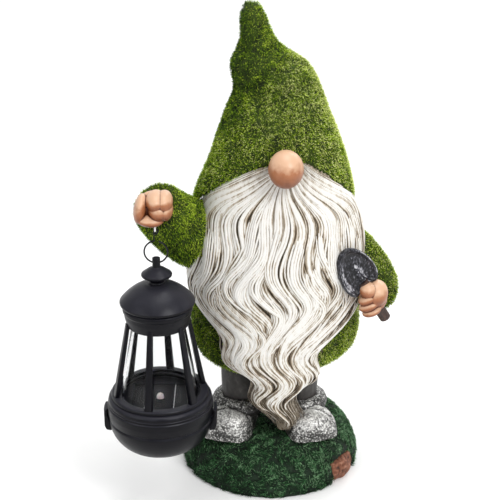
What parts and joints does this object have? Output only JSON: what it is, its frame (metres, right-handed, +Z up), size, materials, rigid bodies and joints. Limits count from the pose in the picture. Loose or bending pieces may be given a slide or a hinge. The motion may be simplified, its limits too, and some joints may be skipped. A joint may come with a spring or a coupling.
{
  "type": "garden gnome",
  "caption": "Bearded garden gnome on a round grassy base, with a trowel in one fist and a solar lantern that swings from the other.",
  "frame": {"origin": "centre of the round base's flat underside", "axes": "+Z up through the hat; the gnome faces -Y; +X is the side of the hand with the trowel"},
  "size_m": [0.1951, 0.1598, 0.325],
  "materials": {
    "grass": "matte",
    "ochre_stone": "matte",
    "boot_grey": "satin",
    "trouser_grey": "satin",
    "green_flock": "flocked",
    "beard_white": "satin",
    "skin": "satin",
    "painted_iron": "satin",
    "painted_wood": "satin",
    "bright_wire": "bright",
    "black_wire": "satin",
    "lantern_black": "satin",
    "clear_plastic": "clear",
    "solar_cell": "gloss",
    "led_lens": "gloss",
    "circuit_board": "satin",
    "battery_sleeve": "gloss",
    "red_wire": "satin",
    "black_wire_cover": "satin",
    "switch_metal": "bright",
    "switch_plastic": "satin"
  },
  "bodies": {
    "statue": {"base_mound": "grass", "base_stone": "ochre_stone", "right_boot": "boot_grey", "left_boot": "boot_grey", "right_boot_cuff": "boot_grey", "left_boot_cuff": "boot_grey", "right_leg": "trouser_grey", "left_leg": "trouser_grey", "coat": "green_flock", "hat": "green_flock", "right_sleeve": "green_flock", "left_sleeve": "green_flock", "beard": "beard_white", "nose": "skin", "right_fist": "skin", "left_fist": "skin", "trowel_blade": "painted_iron", "trowel_handle": "painted_wood", "hand_eye": "bright_wire"},
    "bail": {"bail": "black_wire"},
    "lantern": {"lantern_finial": "lantern_black", "lantern_roof": "lantern_black", "lantern_cage": "lantern_black", "lantern_chimney": "clear_plastic", "lantern_collar": "lantern_black", "lantern_bowl": "lantern_black", "lamp_deck": "lantern_black", "solar_panel": "solar_cell", "led": "led_lens", "circuit_board": "circuit_board", "battery_holder": "lantern_black", "battery": "battery_sleeve", "battery_contact_positive": "bright_wire", "battery_contact_negative": "bright_wire", "red_lead": "red_wire", "black_lead": "black_wire_cover", "bowl_screw_1": "bright_wire", "bowl_screw_2": "bright_wire", "bowl_screw_3": "bright_wire", "switch_body": "switch_metal"},
    "switch_knob": {"switch_knob": "switch_plastic"}
  },
  "joints": [
    {"name": "bail_side_swing", "type": "hinge", "parent": "statue", "child": "bail", "pos_m": [-0.0735, -0.063, 0.1978], "axis": [0, 1, 0], "range_deg": [-4, 40]},
    {"name": "lantern_fore_swing", "type": "hinge", "parent": "bail", "child": "lantern", "pos_m": [-0.0735, -0.063, 0.1765], "axis": [1, 0, 0], "range_deg": [-35, 6]},
    {"name": "switch_slide", "type": "slide", "parent": "lantern", "child": "switch_knob", "axis": [1, 0, 0], "range_m": [0, 0.002]}
  ]
}
